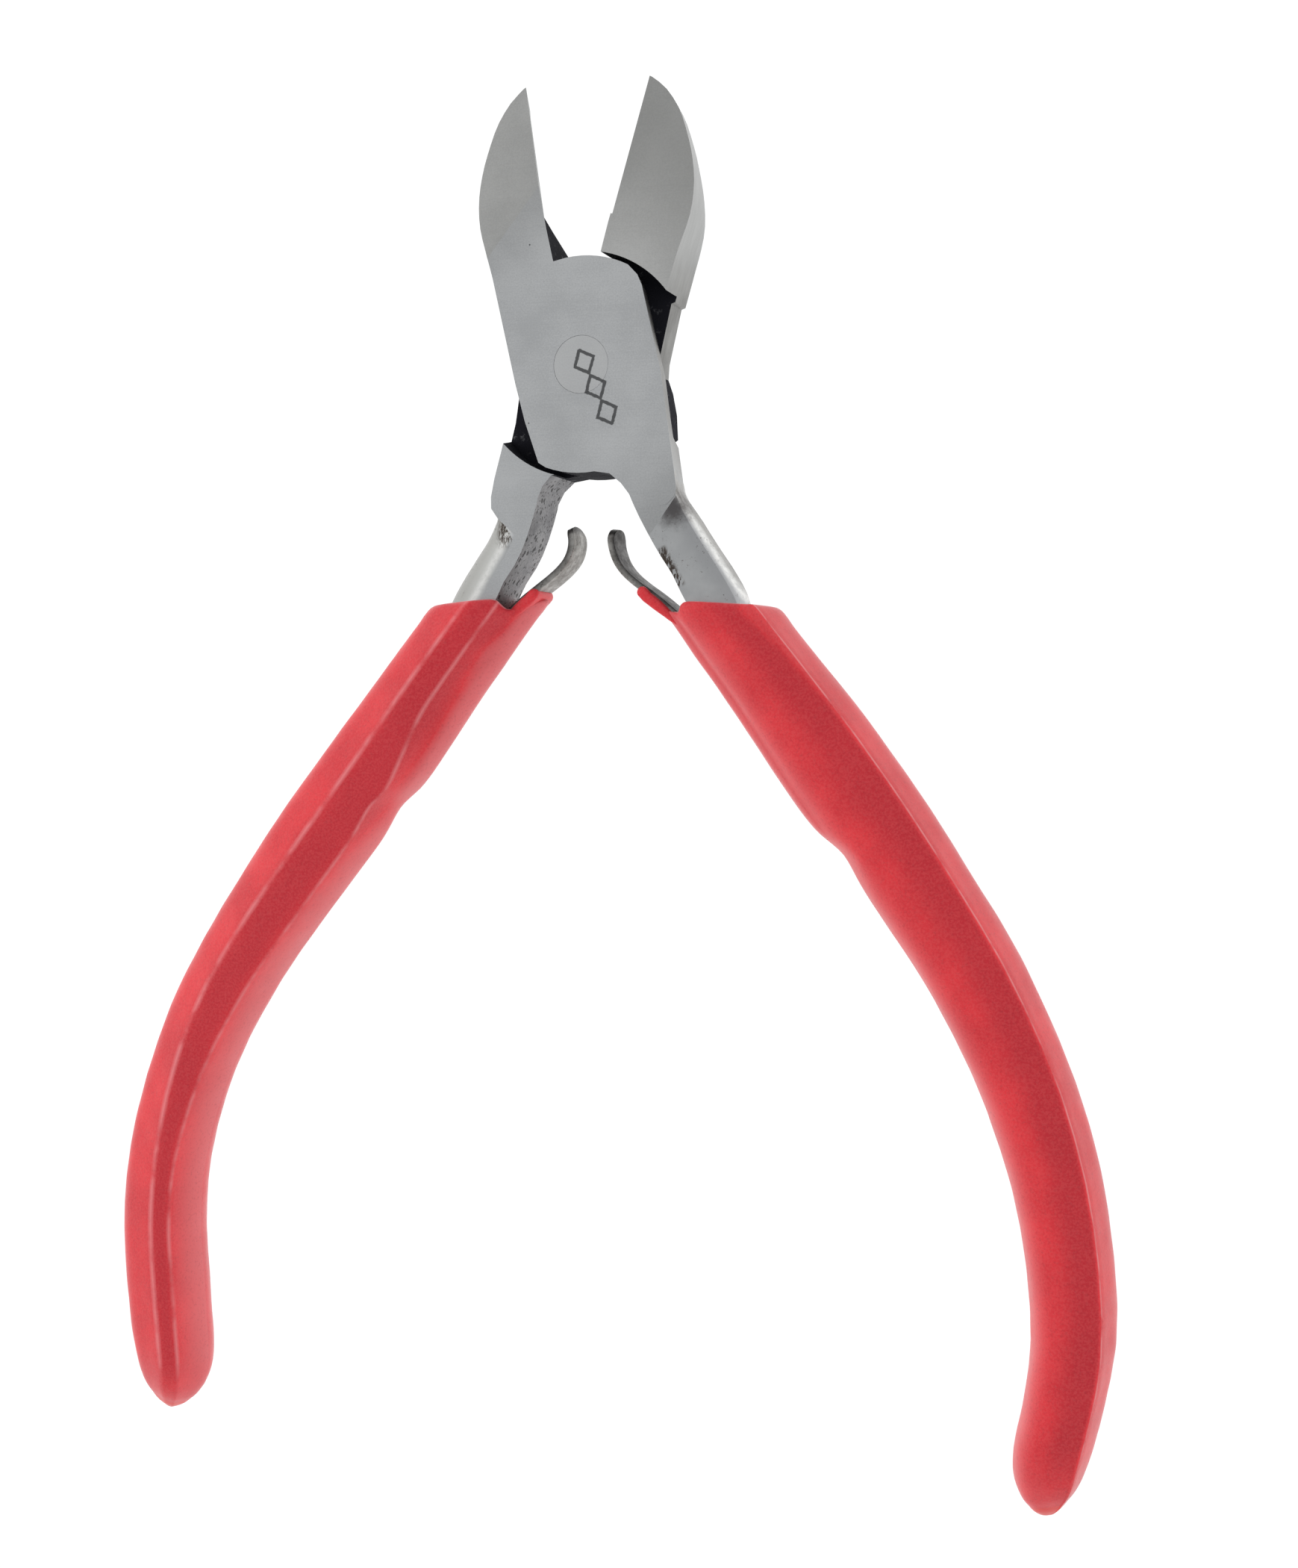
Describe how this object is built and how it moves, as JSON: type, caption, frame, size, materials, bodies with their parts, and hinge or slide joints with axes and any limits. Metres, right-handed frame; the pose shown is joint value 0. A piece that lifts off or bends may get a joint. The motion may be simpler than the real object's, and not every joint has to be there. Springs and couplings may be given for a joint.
{
  "type": "flush cutter",
  "caption": "Lap-joint side cutter with flush-ground jaws, a ground-flush pivot rivet, leaf springs between the tangs and curved handles in red dipped grips.",
  "frame": {"origin": "on the pivot axis at the joint's back face, the rear end of the flush pivot rivet", "axes": "+Y from the pivot to the jaw tips, +Z out of the joint's front face along the pivot axis, +X to the right seen from the front"},
  "size_m": [0.0942, 0.1224, 0.0082],
  "materials": {
    "forged_steel": "satin, ground flat on the faces, polished on the tangs",
    "rivet_steel": "satin, ground flush",
    "spring_steel": "dull, dark",
    "red_dip": "soft semi-gloss dipped PVC"
  },
  "bodies": {
    "front_half": {"front_lever": "forged_steel", "pivot_rivet": "rivet_steel", "front_spring_shank": "spring_steel", "front_spring_rivet": "rivet_steel", "front_grip": "red_dip"},
    "rear_half": {"rear_lever": "forged_steel", "rear_spring_shank": "spring_steel", "rear_spring_rivet": "rivet_steel", "rear_grip": "red_dip"},
    "front_spring": {"front_spring_blade": "spring_steel", "front_grip_web": "red_dip"},
    "rear_spring": {"rear_spring_blade": "spring_steel", "rear_grip_web": "red_dip"}
  },
  "joints": [
    {"name": "pivot", "type": "hinge", "parent": "front_half", "child": "rear_half", "pos_m": [0, 0, 0.003], "axis": [0, 0, 1], "range_deg": [-10, 25.8], "stiffness_Nm_per_rad": 0.5},
    {"name": "front_spring_flex", "type": "hinge", "parent": "front_half", "child": "front_spring", "pos_m": [0.00934, -0.02279, 0.003], "axis": [0, 0, 1], "range_deg": [-14, 5.5]},
    {"name": "rear_spring_flex", "type": "hinge", "parent": "rear_half", "child": "rear_spring", "pos_m": [-0.00844, -0.02289, 0.003], "axis": [0, 0, 1], "range_deg": [-5.5, 14]}
  ],
  "couplings": [
    {"joint": "front_spring_flex", "follows": "pivot", "ratio": -0.54},
    {"joint": "rear_spring_flex", "follows": "pivot", "ratio": 0.54}
  ]
}
